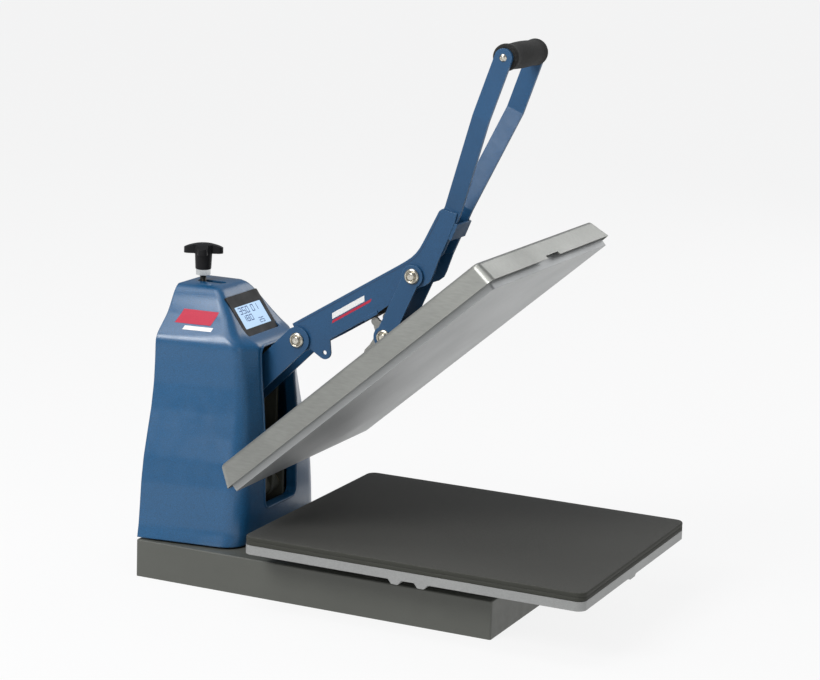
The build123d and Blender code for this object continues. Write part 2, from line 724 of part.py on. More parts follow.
def platen_arm():
    """Welded arm: hinge tube, two bent side plates, bolting flanges and the spring tail."""
    plate = strap(ARM_PIVOT, 17.0, ARM_ELBOW, 10.5) + strap(ARM_ELBOW, 10.5, ARM_NOSE, 6.2)
    plate += strap(ARM_PIVOT, 17.0, TAIL_CLOSED, 10.0)
    plate += dot(closed(TOGGLE), 12.0)
    plate -= dot(TAIL_CLOSED, TAIL_R) + dot(closed(TOGGLE), PIN_R)
    arm = pair(plate, ARM_IN, ARM_OUT) + rod_x(ARM_PIVOT, 14.0, -36, 36)
    for y0, y1 in ((-213, -186), (-97, -67)):
        arm += box(-54, 54, y0, y1, YOKE_TOP, FLANGE_TOP)
    arm -= rod_x(ARM_PIVOT, ARM_PIN_R + RUN, -40, 40)
    return arm - through_arm(YOKE_TOP - 1, FLANGE_TOP + 1, BOLT_HOLE_R)


def spring_rod():
    return rod_x(TAIL_CLOSED, TAIL_R, -34, 34)


def temperature_probe():
    """Flat sensor on the back of the heat plate."""
    return box(-60, -36, -40, -18, HEAT_TOP, HEAT_TOP + 3)


# ---- toggle link ----


def link_outline():
    """Bar with a larger round eye at each end."""
    return strap(KNEE, 13.0, TOGGLE, 13.0) + dot(KNEE, 16.0) + dot(TOGGLE, 16.0)


def link_plate(side):
    face = link_outline() - dot(TOGGLE, PIN_R + RUN) - dot(KNEE, PIN_R)
    x0, x1 = (LINK_IN, LINK_OUT) if side > 0 else (-LINK_OUT, -LINK_IN)
    return slab(face, x0, x1)


def knee_pin():
    """Pin fixed in the link plates: the lever turns on it."""
    return rod_x(KNEE, PIN_R, -PIN_END, PIN_END)


def toggle_pin():
    return rod_x(closed(TOGGLE), PIN_R, -PIN_END, PIN_END)


# ---- lever ----


def lever_outline():
    """Side of the folded lever: rear eye, knee and the socket for the handle bars."""
    front = [(-150.7, 557.4), (-147.9, 545.0), (-138.5, 519.6), (-126.5, 491.5), (-117.6, 466.0),
             (-113.6, 457.4), (-106.2, 451.5), (-97.5, 448.1), (-51.0, 417.3), (-34.6, 404.2),
             (39.4, 357.6), (76.0, 336.0)]
    return outline(*LEVER_BACK, *front) + dot(FULCRUM, 19.0)


def lever_tab():
    """Lug below the rear eye, on the left side only."""
    lug = outline((76.0, 345.0), (67.6, 338.3), (52.6, 328.9), (46.9, 340.0), (37.0, 337.0), (39.4, 358.5))
    return lug + dot(LEVER_TAB_HOLE, 9.6) - dot(LEVER_TAB_HOLE, 3.2)


def lever_cavity():
    """Space between the lever's sides, below the sheet that joins them along the top edge."""
    rear = WEB_REAR
    line = [(rear[0] + 3.2, rear[1] + 5.1)]
    for before, here in zip([rear, *LEVER_BACK[1:-2]], LEVER_BACK[1:-1]):
        run = math.dist(before, here)
        inward = ((before[1] - here[1]) / run, (here[0] - before[0]) / run)
        if len(line) == 1:
            line.append((before[0] + LEVER_SHEET * inward[0], before[1] + LEVER_SHEET * inward[1]))
        line.append((here[0] + LEVER_SHEET * inward[0], here[1] + LEVER_SHEET * inward[1]))
    top = (-133.3, 571.0)
    return outline((140.0, 380.0), *line, top, (-220.0, top[1]), (-220.0, 300.0), (140.0, 300.0))


def lever_channel():
    """Inverted channel: two sides and a web along the top edge."""
    hole = dot(FULCRUM, PIN_R + RUN) + dot(KNEE, PIN_R + RUN)
    channel = slab(lever_outline() - hole, -LEVER_OUT, LEVER_OUT) - slab(lever_cavity(), -LEVER_IN, LEVER_IN)
    return channel + slab(lever_tab() - hole, -LEVER_OUT, -LEVER_IN)


def knee_spacer():
    """Tube across the lever at the knee, which keeps its sides apart."""
    ring = dot(KNEE, 10.0) - dot(KNEE, PIN_R + RUN)
    return slab(ring, -LEVER_IN, LEVER_IN)


def bar_outline():
    """The handle bar seen from the side."""
    half = BAR_WIDE / 2
    legs = [strap(a, half, b, half) for a, b in zip(BAR_LINE[:-1], BAR_LINE[1:])]
    return legs[0] + legs[1] + legs[2]


def handle_bar(side):
    """Flat bar, bent outwards above the lever and back parallel below the grip."""
    foot, bend_low, bend_high, grip = BAR_LINE
    run = math.dist(bend_low, bend_high)
    up = Vector(0, bend_high[0] - bend_low[0], bend_high[1] - bend_low[1]).normalized()
    lean = math.atan2(GRIP_HALF - BAR_IN, run)
    t, shift = BAR_THICK, BAR_THICK * math.tan(lean / 2)
    low, high = -90.0, run + 130.0
    profile = outline((BAR_IN, low), (BAR_IN, shift), (GRIP_HALF, run + shift), (GRIP_HALF, high),
                      (GRIP_HALF + t, high), (GRIP_HALF + t, run), (BAR_IN + t, 0), (BAR_IN + t, low))
    plane = Plane(origin=(0, *bend_low), x_dir=(side, 0, 0), z_dir=Vector(side, 0, 0).cross(up))
    bent = extrude(plane * profile, 45, both=True)
    bar = bent & slab(bar_outline(), -GRIP_HALF - 2 * t, GRIP_HALF + 2 * t)
    return bar - rod_x(GRIP, 2.6, -90, 90)


def handle_clip():
    """Folded clip on the front of the lever: it comes down over the yoke's horn."""
    root, low, high, top = (-138.95, 520.4), (-143.2, 519.0), (-152.2, 541.5), (-147.6, 543.7)
    back_low, back_high = (-140.8, 519.8), (-149.9, 542.6)
    cheek = outline(root, low, high, top)
    front = outline(back_low, low, high, back_high)
    return pair(cheek, LEVER_IN, LEVER_IN + CLIP_SHEET) + slab(front, -LEVER_IN, LEVER_IN)


def lever_bumper():
    """Rubber stop inside the lever, just above the yoke's horn when the press is open."""
    slope = math.degrees(math.atan2(KNEE[1] - FULCRUM[1], KNEE[0] - FULCRUM[0]))
    spot = Pos(*open_point(HORN)) * Rot(0, 0, slope - 180)
    block = spot * Pos(2.0, HORN_R + 0.6 + 5.0) * Rectangle(24.0, 10.0)
    return slab(block, -LEVER_IN, LEVER_IN)


def grip_rod():
    """Rod between the handle bars, bored at both ends for its screws."""
    bores = pair(dot(GRIP, 2.5), GRIP_HALF - 22, GRIP_HALF + 1)
    return rod_x(GRIP, GRIP_ROD_R, -GRIP_HALF, GRIP_HALF) - bores


def grip_foam():
    """Foam sleeve with a slight waist and flared ends."""
    half, bore = GRIP_HALF - 0.5, GRIP_ROD_R + 0.1
    end, waist, middle = 19.0, 17.6, 18.6
    neck = 0.72 * half
    top = Spline((-half, end), (-neck, waist), (0, middle), (neck, waist), (half, end))
    profile = make_face([top, Line((half, end), (half, bore)), Line((half, bore), (-half, bore)),
                         Line((-half, bore), (-half, end))])
    return Pos(0, *GRIP) * revolve(profile, Axis.X)


def grip_screws():
    """Button-head screws that hold the handle bars to the grip rod."""
    dome = Pos(0, 0, -3.2) * Sphere(6.4) & Cylinder(5.6, 8, align=(Align.CENTER, Align.CENTER, Align.MIN))
    screws = []
    for side in (-1, 1):
        face = GRIP_HALF + BAR_THICK
        shank = Pos(side * (face - 12), *GRIP) * Rot(0, 90, 0) * Cylinder(2.5, 24)
        head = Pos(side * face, *GRIP) * Rot(0, side * 90, 0) * dome
        recess = Pos(side * (face + 3), *GRIP) * (Box(2.4, 1.2, 6) + Box(2.4, 6, 1.2))
        screws.append(shank + (head - recess))
    return group(*screws)


CLOSED_NODES = {
    "heat_plate": heat_plate,
    "heating_element": lambda: element_solid(ELEMENT_R),
    "insulation_blanket": insulation_blanket,
    "platen_cover": platen_cover,
    "platen_standoffs": lambda: group(cover_posts(), arm_spacers()),
    "arm_bolts": arm_bolts,
    "toggle_yoke": toggle_yoke,
    "platen_arm": platen_arm,
    "spring_rod": spring_rod,
    "temperature_probe": temperature_probe,
    "toggle_pin": toggle_pin,
    "toggle_pin_caps": lambda: cap_pair(closed(TOGGLE)),
}

OPEN_NODES = {
    "base_tray": base_tray,
    "base_plate": base_plate,
    "platen_supports": platen_supports,
    "platen_studs": platen_studs,
    "lower_platen": lower_platen,
    "platen_pad": platen_pad,
    "foot_plate": foot_plate,
    "foot_bolts": foot_bolts,
    "frame_plate_left": lambda: frame_plate(-1),
    "frame_plate_right": lambda: frame_plate(1),
    "frame_ties": frame_ties,
    "arm_pin": arm_pin,
    "arm_bushings": arm_bushings,
    "fulcrum_bracket": fulcrum_bracket,
    "bracket_pin": bracket_pin,
    "fulcrum_studs": fulcrum_studs,
    "fulcrum_caps": lambda: cap_pair(FULCRUM),
    "screw_bridge": screw_bridge,
    "pressure_screw": pressure_screw,
    "thrust_collars": thrust_collars,
    "jam_nut": jam_nut,
    "pressure_knob": pressure_knob,
    "trunnion_nut": trunnion_nut,
    "return_springs": return_springs,
    "spring_anchor": spring_anchor,
    "column_cover": column_cover,
    "rear_panel": rear_panel,
    "panel_screws": panel_screws,
    "power_inlet": power_inlet,
    "switch_housing": switch_housing,
    "rocker_button": rocker_button,
    "display_bezel": display_bezel,
    "display_lcd": display_lcd,
    "control_board": control_board,
    "power_relay": power_relay,
    "link_plate_left": lambda: link_plate(-1),
    "link_plate_right": lambda: link_plate(1),
    "knee_pin": knee_pin,
    "knee_caps": lambda: cap_pair(KNEE),
    "lever_channel": lever_channel,
    "knee_spacer": knee_spacer,
    "handle_bar_left": lambda: handle_bar(-1),
    "handle_bar_right": lambda: handle_bar(1),
    "handle_clip": handle_clip,
    "lever_bumper": lever_bumper,
    "grip_rod": grip_rod,
    "grip_foam": grip_foam,
    "grip_screws": grip_screws,
}

os.makedirs("parts", exist_ok=True)
for name, make in OPEN_NODES.items():
    export_step(make(), f"parts/{name}.step")
for name, make in CLOSED_NODES.items():
    export_step(swing_open(make()), f"parts/{name}.step")
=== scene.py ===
import json
import math

import bmesh
import bpy
from mathutils import Matrix, Vector, noise

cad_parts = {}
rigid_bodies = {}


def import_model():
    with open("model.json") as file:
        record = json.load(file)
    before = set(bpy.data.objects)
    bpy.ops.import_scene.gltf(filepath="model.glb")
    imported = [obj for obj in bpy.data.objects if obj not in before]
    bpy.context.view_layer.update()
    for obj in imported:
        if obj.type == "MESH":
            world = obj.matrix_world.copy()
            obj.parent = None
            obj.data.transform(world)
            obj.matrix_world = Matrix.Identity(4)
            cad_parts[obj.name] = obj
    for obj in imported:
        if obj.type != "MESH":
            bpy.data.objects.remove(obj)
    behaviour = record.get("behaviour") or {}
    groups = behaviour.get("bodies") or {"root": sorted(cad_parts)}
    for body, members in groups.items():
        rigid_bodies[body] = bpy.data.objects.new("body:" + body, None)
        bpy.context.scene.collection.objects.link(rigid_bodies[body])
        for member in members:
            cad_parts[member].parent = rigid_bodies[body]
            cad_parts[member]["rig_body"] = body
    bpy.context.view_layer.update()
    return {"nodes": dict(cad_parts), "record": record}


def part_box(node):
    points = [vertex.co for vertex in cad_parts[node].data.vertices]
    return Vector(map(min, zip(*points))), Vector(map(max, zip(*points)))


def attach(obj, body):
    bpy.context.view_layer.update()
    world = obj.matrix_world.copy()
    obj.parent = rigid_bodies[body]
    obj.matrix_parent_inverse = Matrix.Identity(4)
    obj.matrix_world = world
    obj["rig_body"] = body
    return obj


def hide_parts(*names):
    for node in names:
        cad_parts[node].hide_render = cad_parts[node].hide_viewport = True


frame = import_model()
NODES = frame["nodes"]
MM = 0.001

# ---- column: height, rear half width, front corner half width and Y, nose half width and Y, mm ----
COLUMN_REAR = 280.0
COLUMN_WALL = 3.5
COLUMN_PLAN = [
    (58.0, 148.0, 128.0, 128.5, 60.0, 124.0),
    (76.0, 144.5, 121.0, 126.5, 58.0, 124.5),
    (105.0, 141.5, 118.0, 126.0, 57.0, 125.0),
    (140.0, 138.5, 115.5, 128.0, 56.0, 126.0),
    (175.0, 132.5, 109.5, 131.0, 55.0, 126.5),
    (210.0, 123.0, 99.5, 136.5, 54.0, 127.5),
    (245.0, 113.0, 91.5, 142.0, 54.0, 130.0),
    (280.0, 106.5, 86.0, 147.5, 54.0, 133.5),
    (315.0, 104.0, 84.0, 154.0, 54.0, 136.0),
    (338.0, 103.5, 83.5, 158.0, 54.0, 137.0),
    (342.5, 103.0, 83.0, 159.0, 54.0, 140.0),
    (346.5, 102.0, 82.0, 160.5, 54.0, 148.0),
    (350.5, 99.5, 80.5, 163.5, 54.0, 158.0),
    (356.0, 94.0, 78.5, 167.0, 53.0, 165.0),
    (364.0, 84.5, 73.5, 172.5, 51.0, 171.0),
    (376.0, 71.0, 65.0, 181.0, 48.0, 179.8),
    (390.0, 61.5, 57.5, 191.0, 43.0, 190.0),
    (402.0, 54.5, 52.0, 200.0, 39.0, 199.0),
    (410.0, 48.5, 47.0, 207.0, 35.0, 206.0),
    (415.0, 40.0, 40.0, 216.0, 30.0, 215.0),
]
COLUMN_STEP = 2.5
COLUMN_BLUR = 4.5
MOUTH_HALF = 48.0
MOUTH_LOW = 100.0
MOUTH_HIGH = 337.0
MOUTH_CORNER = 12.0
MOUTH_RELIEF = 1.2
DISPLAY_MID = (180.0, 375.5)
DISPLAY_SLOPE = math.radians(54.4)
DISPLAY_X = 94.0
DISPLAY_RUN = 66.0
LCD_SHIFT = -3.0
SCREW_SLOT = (0.0, 247.0, 15.0, 46.0)


# ---- small mesh tools ----
def mesh_object(name, points, faces, material, body, smooth=True):
    """Mesh from points in millimetres, riding on a CAD body."""
    mesh = bpy.data.meshes.new(name)
    mesh.from_pydata([Vector(p) * MM for p in points], [], faces)
    mesh.validate()
    mesh.update()
    piece = bpy.data.objects.new(name, mesh)
    bpy.context.scene.collection.objects.link(piece)
    tidy_mesh(piece, smooth)
    if material:
        mesh.materials.append(material)
    if body:
        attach(piece, body)
    return piece


def tidy_mesh(piece, smooth=True, sharp_degrees=38.0):
    """Outward normals, smooth shading, and sharp edges where faces meet at an angle."""
    bm = bmesh.new()
    bm.from_mesh(piece.data)
    bmesh.ops.recalc_face_normals(bm, faces=bm.faces)
    limit = math.radians(sharp_degrees)
    for face in bm.faces:
        face.smooth = smooth
    for edge in bm.edges:
        edge.smooth = len(edge.link_faces) == 2 and edge.calc_face_angle(0.0) < limit
    bm.to_mesh(piece.data)
    bm.free()


def bake_modifiers(piece):
    """Replace the piece's mesh with the result of its modifiers."""
    graph = bpy.context.evaluated_depsgraph_get()
    result = bpy.data.meshes.new_from_object(piece.evaluated_get(graph))
    piece.modifiers.clear()
    piece.data = result


def cut(piece, cutters):
    """Cut the piece with closed cutter objects, which are then removed."""
    for cutter in cutters:
        step = piece.modifiers.new(cutter.name, "BOOLEAN")
        step.operation = "DIFFERENCE"
        step.solver = "EXACT"
        step.object = cutter
    bpy.context.view_layer.update()
    bake_modifiers(piece)
    for cutter in cutters:
        bpy.data.objects.remove(cutter)


def ring_faces(rings, count, close=True):
    """Quads between rings of count points each."""
    faces = []
    last = count if close else count - 1
    for ring in range(rings - 1):
        for i in range(last):
            j = (i + 1) % count
            faces.append((ring * count + i, ring * count + j, (ring + 1) * count + j, (ring + 1) * count + i))
    return faces


def tube_faces(rings, count):
    """Quads between rings, and from the last ring back to the first."""
    last = (rings - 1) * count
    back = [(last + i, last + (i + 1) % count, (i + 1) % count, i) for i in range(count)]
    return ring_faces(rings, count) + back


def middle_of(node):
    """Y and Z of the middle of a CAD node's box, and its high corner, in millimetres."""
    low, high = (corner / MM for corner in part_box(node))
    return (low.y + high.y) / 2, (low.z + high.z) / 2, high


def rounded_outline(half_x, half_y, corner, steps=8):
    """Points round a rectangle with rounded corners, with the outward direction at each."""
    line = []
    for quarter, (sx, sy) in enumerate(((1, 1), (-1, 1), (-1, -1), (1, -1))):
        for i in range(steps + 1):
            angle = (quarter + i / steps) * math.pi / 2
            out = (math.cos(angle), math.sin(angle))
            centre = (sx * (half_x - corner), sy * (half_y - corner))
            line.append((centre[0] + corner * out[0], centre[1] + corner * out[1], *out))
    return line


def prism(name, outline, place):
    """Closed prism cutter: outline points (u, v), and place(u, v, end) gives the corner at each end."""
    count = len(outline)
    points = [place(p[0], p[1], end) for end in (0, 1) for p in outline]
    faces = ring_faces(2, count) + [tuple(range(count))[::-1], tuple(range(count, 2 * count))]
    return mesh_object(name, points, faces, None, None, smooth=False)


def lathe(name, profile, centre, side, material, body, segments=48):
    """Turned piece round an X axis through (x, y, z); profile holds (out along X, radius)."""
    points = []
    for out, radius in profile:
        for i in range(segments):
            angle = 2 * math.pi * i / segments
            points.append((centre[0] + side * out, centre[1] + radius * math.cos(angle),
                           centre[2] + radius * math.sin(angle)))
    return mesh_object(name, points, tube_faces(len(profile), segments), material, body)


def join(name, pieces):
    """One object from several, keeping the first one's body."""
    first = pieces[0]
    bm = bmesh.new()
    for piece in pieces:
        bm.from_mesh(piece.data)
    mesh = bpy.data.meshes.new(name)
    bm.to_mesh(mesh)
    bm.free()
    mesh.materials.append(first.data.materials[0])
    joined = bpy.data.objects.new(name, mesh)
    bpy.context.scene.collection.objects.link(joined)
    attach(joined, first["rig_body"])
    for piece in pieces:
        bpy.data.objects.remove(piece)
    return joined


def refine(path, step):
    """Add points along the long runs of a closed path of (u, v, nu, nv)."""
    fine = []
    for here, after in zip(path, path[1:] + path[:1]):
        length = math.hypot(after[0] - here[0], after[1] - here[1])
        pieces = max(1, round(length / step))
        for i in range(pieces):
            fine.append(tuple(a + (b - a) * i / pieces for a, b in zip(here, after)))
    return fine


def weld(piece, distance):
    """Merge points that lie within a distance in millimetres."""
    bm = bmesh.new()
    bm.from_mesh(piece.data)
    bmesh.ops.remove_doubles(bm, verts=bm.verts, dist=distance * MM)
    bm.to_mesh(piece.data)
    bm.free()


# ---- materials ----
class Finish:
    """Node tree of one material, worked in object coordinates so that grain is at its real size."""

    def __init__(self, name, color, roughness, metallic=0.0, edge=0.0007):
        self.material = bpy.data.materials.new(name)
        self.material.use_nodes = True
        self.material.diffuse_color = (*color, 1.0)
        self.tree = self.material.node_tree
        self.shader = self.tree.nodes["Principled BSDF"]
        self.color = color
        self.shader.inputs["Base Color"].default_value = (*color, 1.0)
        self.shader.inputs["Roughness"].default_value = roughness
        self.shader.inputs["Metallic"].default_value = metallic
        self.place = self.node("ShaderNodeTexCoord").outputs["Object"]
        self.normal = None
        if edge:
            soft = self.node("ShaderNodeBevel", samples=3)
            soft.inputs["Radius"].default_value = edge
            self.normal = soft.outputs["Normal"]
            self.link(self.normal, self.shader.inputs["Normal"])

    def node(self, kind, **settings):
        made = self.tree.nodes.new(kind)
        for key, value in settings.items():
            setattr(made, key, value)
        return made

    def link(self, a, b):
        self.tree.links.new(a, b)

    def stretch(self, scale):
        """Object coordinates stretched by a factor along each axis."""
        mapping = self.node("ShaderNodeMapping")
        mapping.inputs["Scale"].default_value = scale
        self.link(self.place, mapping.inputs["Vector"])
        return mapping.outputs["Vector"]

    def noise(self, scale, detail=2.0, place=None, rough=0.5):
        made = self.node("ShaderNodeTexNoise")
        made.inputs["Scale"].default_value = scale
        made.inputs["Detail"].default_value = detail
        made.inputs["Roughness"].default_value = rough
        self.link(place or self.place, made.inputs["Vector"])
        return made.outputs["Fac"]

    def remap(self, value, low, high, to_low, to_high):
        made = self.node("ShaderNodeMapRange")
        for key, number in zip(("From Min", "From Max", "To Min", "To Max"), (low, high, to_low, to_high)):
            made.inputs[key].default_value = number
        self.link(value, made.inputs["Value"])
        return made.outputs["Result"]

    def tint(self, factor, strength_low, strength_high, low=0.3, high=0.7):
        """Multiply the running base colour by a factor that follows a noise."""
        scaled = self.remap(factor, low, high, strength_low, strength_high)
        mix = self.node("ShaderNodeVectorMath", operation="SCALE")
        self.feed_color(mix.inputs[0])
        self.link(scaled, mix.inputs["Scale"])
        self.link(mix.outputs[0], self.shader.inputs["Base Color"])

    def feed_color(self, socket):
        links = self.shader.inputs["Base Color"].links
        if links:
            self.link(links[0].from_socket, socket)
        else:
            socket.default_value = self.color

    def blend_color(self, factor, color):
        """Mix the running base colour towards another by a factor from 0 to 1."""
        mix = self.node("ShaderNodeMix", data_type="RGBA")
        a, b = mix.inputs[6], mix.inputs[7]
        links = self.shader.inputs["Base Color"].links
        if links:
            self.link(links[0].from_socket, a)
        else:
            a.default_value = (*self.color, 1.0)
        b.default_value = (*color, 1.0)
        self.link(factor, mix.inputs["Factor"])
        self.link(mix.outputs[2], self.shader.inputs["Base Color"])

    def vary_roughness(self, factor, low, high):
        self.link(self.remap(factor, 0.3, 0.7, low, high), self.shader.inputs["Roughness"])

    def bump(self, height, distance, strength=1.0):
        made = self.node("ShaderNodeBump")
        made.inputs["Strength"].default_value = strength
        made.inputs["Distance"].default_value = distance
        self.link(height, made.inputs["Height"])
        if self.normal:
            self.link(self.normal, made.inputs["Normal"])
        self.normal = made.outputs["Normal"]
        self.link(self.normal, self.shader.inputs["Normal"])

    def painted_edge_highlight(self, color, amount):
        """Painted highlight: lighter colour where the softened normal leaves the true one, along rounded
        edges.
        """
        true = self.node("ShaderNodeNewGeometry").outputs["Normal"]
        soft = self.node("ShaderNodeBevel", samples=3)
        soft.inputs["Radius"].default_value = 0.0012
        dot = self.node("ShaderNodeVectorMath", operation="DOT_PRODUCT")
        self.link(soft.outputs["Normal"], dot.inputs[0])
        self.link(true, dot.inputs[1])
        # painted highlight: the colour is mixed towards the lighter one along the edges
        self.blend_color(self.remap(dot.outputs["Value"], 0.99, 0.80, 0.0, amount), color)


def paint(name, color, roughness, speck=0.16, edge=0.0010, highlight_color=None, coat=0.0):
    """Powder coat: fine orange peel, small specks of lighter and darker pigment, slight clouds, and a painted
    highlight along edges where a highlight colour is given.
    """
    finish = Finish(name, color, roughness, edge=edge)
    grain = finish.noise(1100.0, 3.0)
    finish.tint(grain, 1.0 - speck, 1.0 + speck)
    finish.tint(finish.noise(9.0, 3.0), 0.95, 1.05)
    # painted highlight: lighter colour along rounded edges, standing in for light caught there
    if highlight_color:
        finish.painted_edge_highlight(highlight_color, 0.45)
    finish.vary_roughness(finish.noise(60.0, 2.0), roughness - 0.04, roughness + 0.05)
    finish.bump(grain, 0.00012, 0.55)
    finish.shader.inputs["Coat Weight"].default_value = coat
    finish.shader.inputs["Coat Roughness"].default_value = 0.25
    return finish.material


def metal(name, color, roughness, streak=(1.0, 1.0, 1.0), mark=0.10, metallic=1.0, edge=0.0006, relief=0.5):
    """Bare metal with drawn or ground streaks along the axis whose stretch is smallest."""
    finish = Finish(name, color, roughness, metallic=metallic, edge=edge)
    lines = finish.noise(420.0, 3.0, finish.stretch(streak))
    finish.tint(lines, 1.0 - mark, 1.0 + mark)
    finish.tint(finish.noise(7.0, 4.0), 0.95, 1.05)
    finish.vary_roughness(finish.noise(12.0, 3.0), roughness - 0.03, roughness + 0.05)
    finish.bump(lines, 0.00004, relief)
    return finish.material


def moulded(name, color, roughness, grain_scale=1500.0, depth=0.00005, shine=0.5):
    """Moulded plastic or rubber with a fine spark-eroded grain."""
    finish = Finish(name, color, roughness, edge=0.0008)
    finish.shader.inputs["Specular IOR Level"].default_value = shine
    grain = finish.noise(grain_scale, 2.0)
    finish.tint(grain, 0.8, 1.25)
    finish.vary_roughness(finish.noise(45.0, 2.0), roughness - 0.05, roughness + 0.06)
    finish.bump(grain, depth, 0.6)
    return finish.material


def pad_silicone():
    """Dark silicone sponge: a fine cloth-like skin on top, with a browner laminated edge."""
    finish = Finish("pad_silicone", (0.056, 0.056, 0.050), 0.78, edge=0.0)
    grain = finish.noise(700.0, 4.0, rough=0.7)
    finish.tint(grain, 0.45, 1.7)
    finish.tint(finish.noise(5.0, 3.0), 0.93, 1.07)
    split = finish.node("ShaderNodeSeparateXYZ")
    finish.link(finish.node("ShaderNodeNewGeometry").outputs["Normal"], split.inputs[0])
    side = finish.remap(split.outputs["Z"], 0.85, 0.35, 0.0, 1.0)
    finish.blend_color(side, (0.029, 0.030, 0.023))
    finish.bump(grain, 0.0003, 0.7)
    return finish.material


def foam_rubber():
    """Closed-cell foam: open pores over soft lumps."""
    finish = Finish("foam_rubber", (0.007, 0.007, 0.0065), 0.92, edge=0.0)
    cells = finish.node("ShaderNodeTexVoronoi", feature="F1")
    cells.inputs["Scale"].default_value = 700.0
    finish.link(finish.place, cells.inputs["Vector"])
    finish.tint(cells.outputs["Distance"], 0.45, 2.1, 0.15, 0.75)
    finish.tint(finish.noise(260.0, 3.0), 0.7, 1.5)
    finish.bump(cells.outputs["Distance"], 0.0004, 0.8)
    finish.shader.inputs["Sheen Weight"].default_value = 0.02
    return finish.material


def lcd_glow():
    """Backlit liquid crystal: pale blue, its glow varying a little in soft patches."""
    finish = Finish("lcd_glow", (0.02, 0.03, 0.04), 0.15, edge=0.0)
    finish.shader.inputs["Specular IOR Level"].default_value = 0.2
    glow = finish.remap(finish.noise(14.0, 1.0), 0.3, 0.7, 0.82, 0.95)
    finish.link(glow, finish.shader.inputs["Emission Strength"])
    finish.shader.inputs["Emission Color"].default_value = (0.50, 0.73, 1.0, 1.0)
    return finish.material


def board_green():
    """Solder resist over faint tracks."""
    finish = Finish("board_green", (0.012, 0.11, 0.035), 0.35)
    tracks = finish.noise(180.0, 0.0, finish.stretch((1.0, 0.12, 0.12)))
    finish.tint(tracks, 0.6, 1.5)
    finish.bump(tracks, 0.00005, 0.5)
    return finish.material


def wool(name, color):
    """Ceramic fibre blanket: tangled fibres in soft clouds."""
    finish = Finish(name, color, 0.95, edge=0.0)
    fibres = finish.noise(240.0, 6.0, finish.stretch((1.0, 3.5, 1.0)), rough=0.75)
    finish.tint(fibres, 0.7, 1.2)
    finish.bump(fibres, 0.0012, 0.9)
    finish.shader.inputs["Sheen Weight"].default_value = 0.4
    return finish.material


def flat_print(name, color):
    """Printed film: satin, with a slight mottle."""
    finish = Finish(name, color, 0.60, edge=0.0)
    mottle = finish.noise(600.0, 2.0)
    finish.tint(mottle, 0.94, 1.06)
    finish.bump(mottle, 0.00002, 0.3)
    return finish.material


ALONG_Y = (1.0, 0.04, 1.0)
ALONG_Y_FINE = (1.0, 0.06, 1.0)
# lighter blue for the painted highlight along the lever's edges
BLUE_EDGE_HIGHLIGHT = (0.16, 0.30, 0.46)
MATERIALS = {
    "base_paint": paint("base_paint", (0.082, 0.085, 0.074), 0.48, speck=0.10, highlight_color=(0.26, 0.26, 0.24)),
    "column_paint": paint("column_paint", (0.006, 0.078, 0.190), 0.34, speck=0.40, edge=0.0030, coat=0.5),
    "lever_paint": paint("lever_paint", (0.009, 0.066, 0.160), 0.42, speck=0.24, highlight_color=BLUE_EDGE_HIGHLIGHT),
    "frame_steel": paint("frame_steel", (0.085, 0.085, 0.066), 0.5, speck=0.12, highlight_color=(0.2, 0.2, 0.18)),
    "platen_aluminium": metal("platen_aluminium", (0.33, 0.335, 0.33), 0.50, (1.0, 1.0, 4.0), 0.12, 0.6,
                              relief=0.3),
    "heat_aluminium": metal("heat_aluminium", (0.36, 0.37, 0.37), 0.44, ALONG_Y_FINE, 0.025, 0.6, relief=0.06),
    "cover_steel": metal("cover_steel", (0.30, 0.305, 0.285), 0.40, ALONG_Y, 0.06, 0.7, edge=0.0, relief=0.2),
    "yoke_steel": metal("yoke_steel", (0.30, 0.30, 0.28), 0.42, (1.0, 1.0, 1.0), 0.12, 0.9),
    "pin_nickel": metal("pin_nickel", (0.60, 0.57, 0.50), 0.22, (1.0, 1.0, 1.0), 0.05),
    "zinc_steel": metal("zinc_steel", (0.56, 0.58, 0.59), 0.28, (1.0, 1.0, 1.0), 0.08),
    "dark_steel": metal("dark_steel", (0.10, 0.095, 0.085), 0.40, (1.0, 1.0, 0.3), 0.15),
    "bronze": metal("bronze", (0.50, 0.33, 0.14), 0.35, (1.0, 1.0, 1.0), 0.10),
    "pad_rubber": pad_silicone(),
    "foam": foam_rubber(),
    "stop_rubber": moulded("stop_rubber", (0.016, 0.016, 0.016), 0.72, 900.0, 0.0001),
    "black_plastic": moulded("black_plastic", (0.006, 0.006, 0.007), 0.48, shine=0.22),
    "screen": lcd_glow(),
    "board_green": board_green(),
    "insulation": wool("insulation", (0.72, 0.70, 0.62)),
    "element_steel": metal("element_steel", (0.24, 0.20, 0.16), 0.5, (1.0, 1.0, 1.0), 0.2),
    "relay_plastic": moulded("relay_plastic", (0.55, 0.53, 0.46), 0.5),
}


def dress_cad_nodes():
    """Give every CAD node the procedural material of its slot."""
    slots = {part["node"]: part["material_slot"] for part in frame["record"]["subparts"]}
    for name, node in NODES.items():
        if not node.material_slots:
            node.data.materials.append(None)
        for holder in node.material_slots:
            holder.link = "OBJECT"
            holder.material = MATERIALS[slots[name]]


# ---- column ----
def column_plan_at(z):
    """The plan's values at a height, by straight runs between the listed heights."""
    for low, high in zip(COLUMN_PLAN[:-1], COLUMN_PLAN[1:]):
        if z <= high[0]:
            share = (z - low[0]) / (high[0] - low[0])
            return [a + (b - a) * share for a, b in zip(low[1:], high[1:])]
    return list(COLUMN_PLAN[-1][1:])


def smooth_plan(z):
    """The plan at a height, averaged over neighbouring heights so that its bends are soft."""
    low, high = COLUMN_PLAN[0][0], COLUMN_PLAN[-1][0]
    reach = min(COLUMN_BLUR, z - low, high - z)
    if reach <= 0:
        return column_plan_at(z)
    total, weights = [0.0] * 5, 0.0
    for i in range(-6, 7):
        weight = math.exp(-2.0 * (i / 6) ** 2)
        values = column_plan_at(z + reach * 1.6 * i / 6 if low < z + reach * 1.6 * i / 6 < high else z)
        total = [t + weight * v for t, v in zip(total, values)]
        weights += weight
    return [t / weights for t in total]


